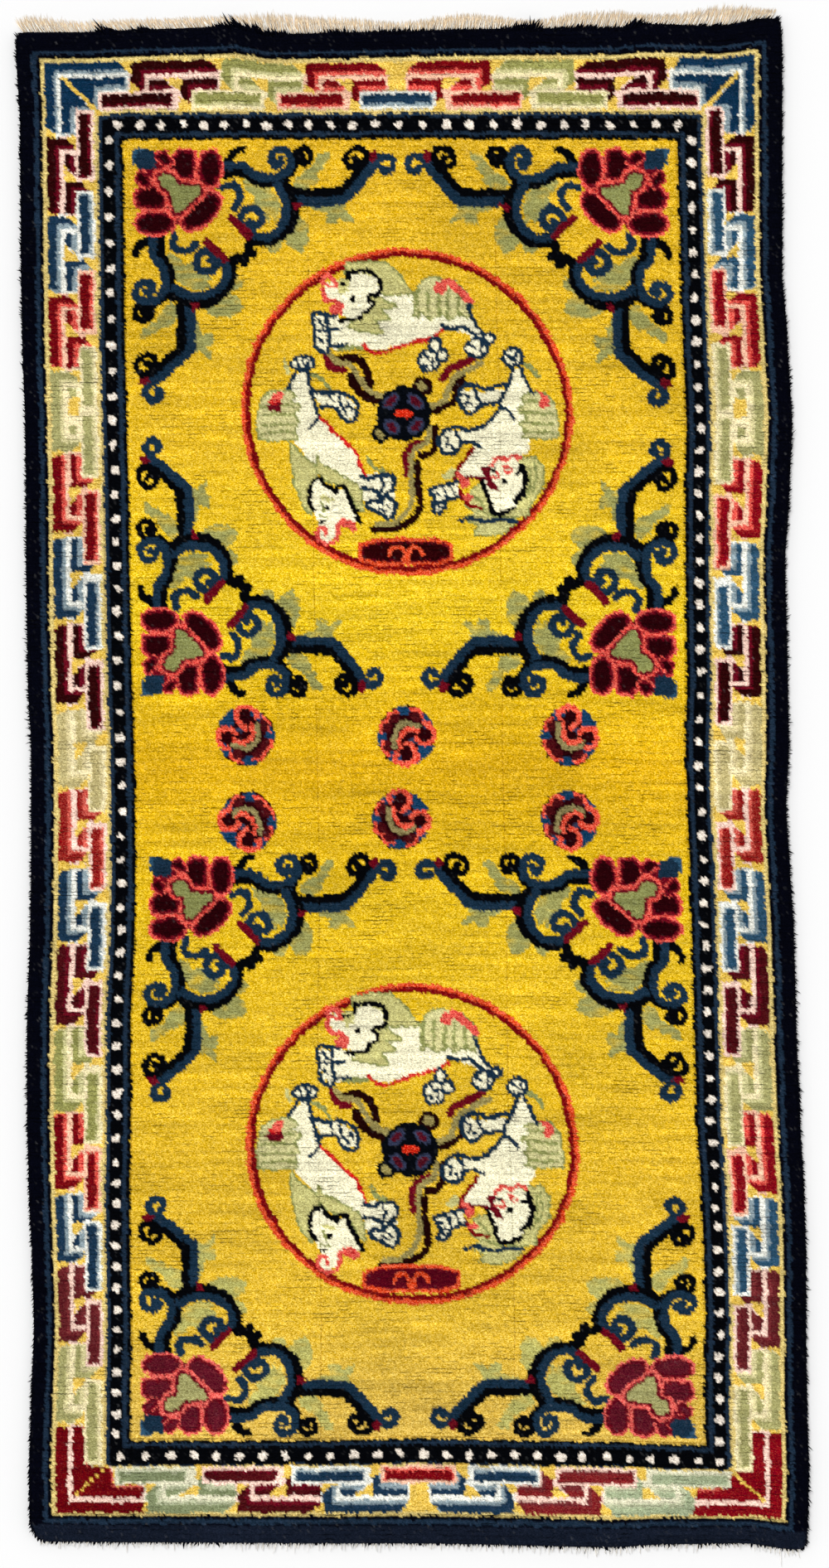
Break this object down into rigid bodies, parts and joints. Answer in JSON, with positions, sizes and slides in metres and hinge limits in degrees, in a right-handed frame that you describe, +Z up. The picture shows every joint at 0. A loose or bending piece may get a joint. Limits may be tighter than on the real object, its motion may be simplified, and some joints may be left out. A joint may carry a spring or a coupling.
{
  "type": "rug",
  "caption": "Small rectangular hand-knotted wool pile rug with a fretwork border, guardian lion medallions and a short cotton warp fringe at both ends, lying flat.",
  "frame": {"origin": "under the middle of the rug, on the surface it lies on", "axes": "+Z up out of the pile, +Y along the rug to its upper end, +X across it to the right"},
  "size_m": [0.7948, 1.552, 0.0104],
  "materials": {
    "wool_pile": "clipped wool pile, matte, in dyed knots of yellow, indigo, madder red, green and ivory",
    "cotton_warp": "undyed twisted cotton, matte"
  },
  "bodies": {
    "root": {"rug_body": "wool_pile", "fringe_top": "cotton_warp", "fringe_bottom": "cotton_warp"}
  },
  "joints": []
}
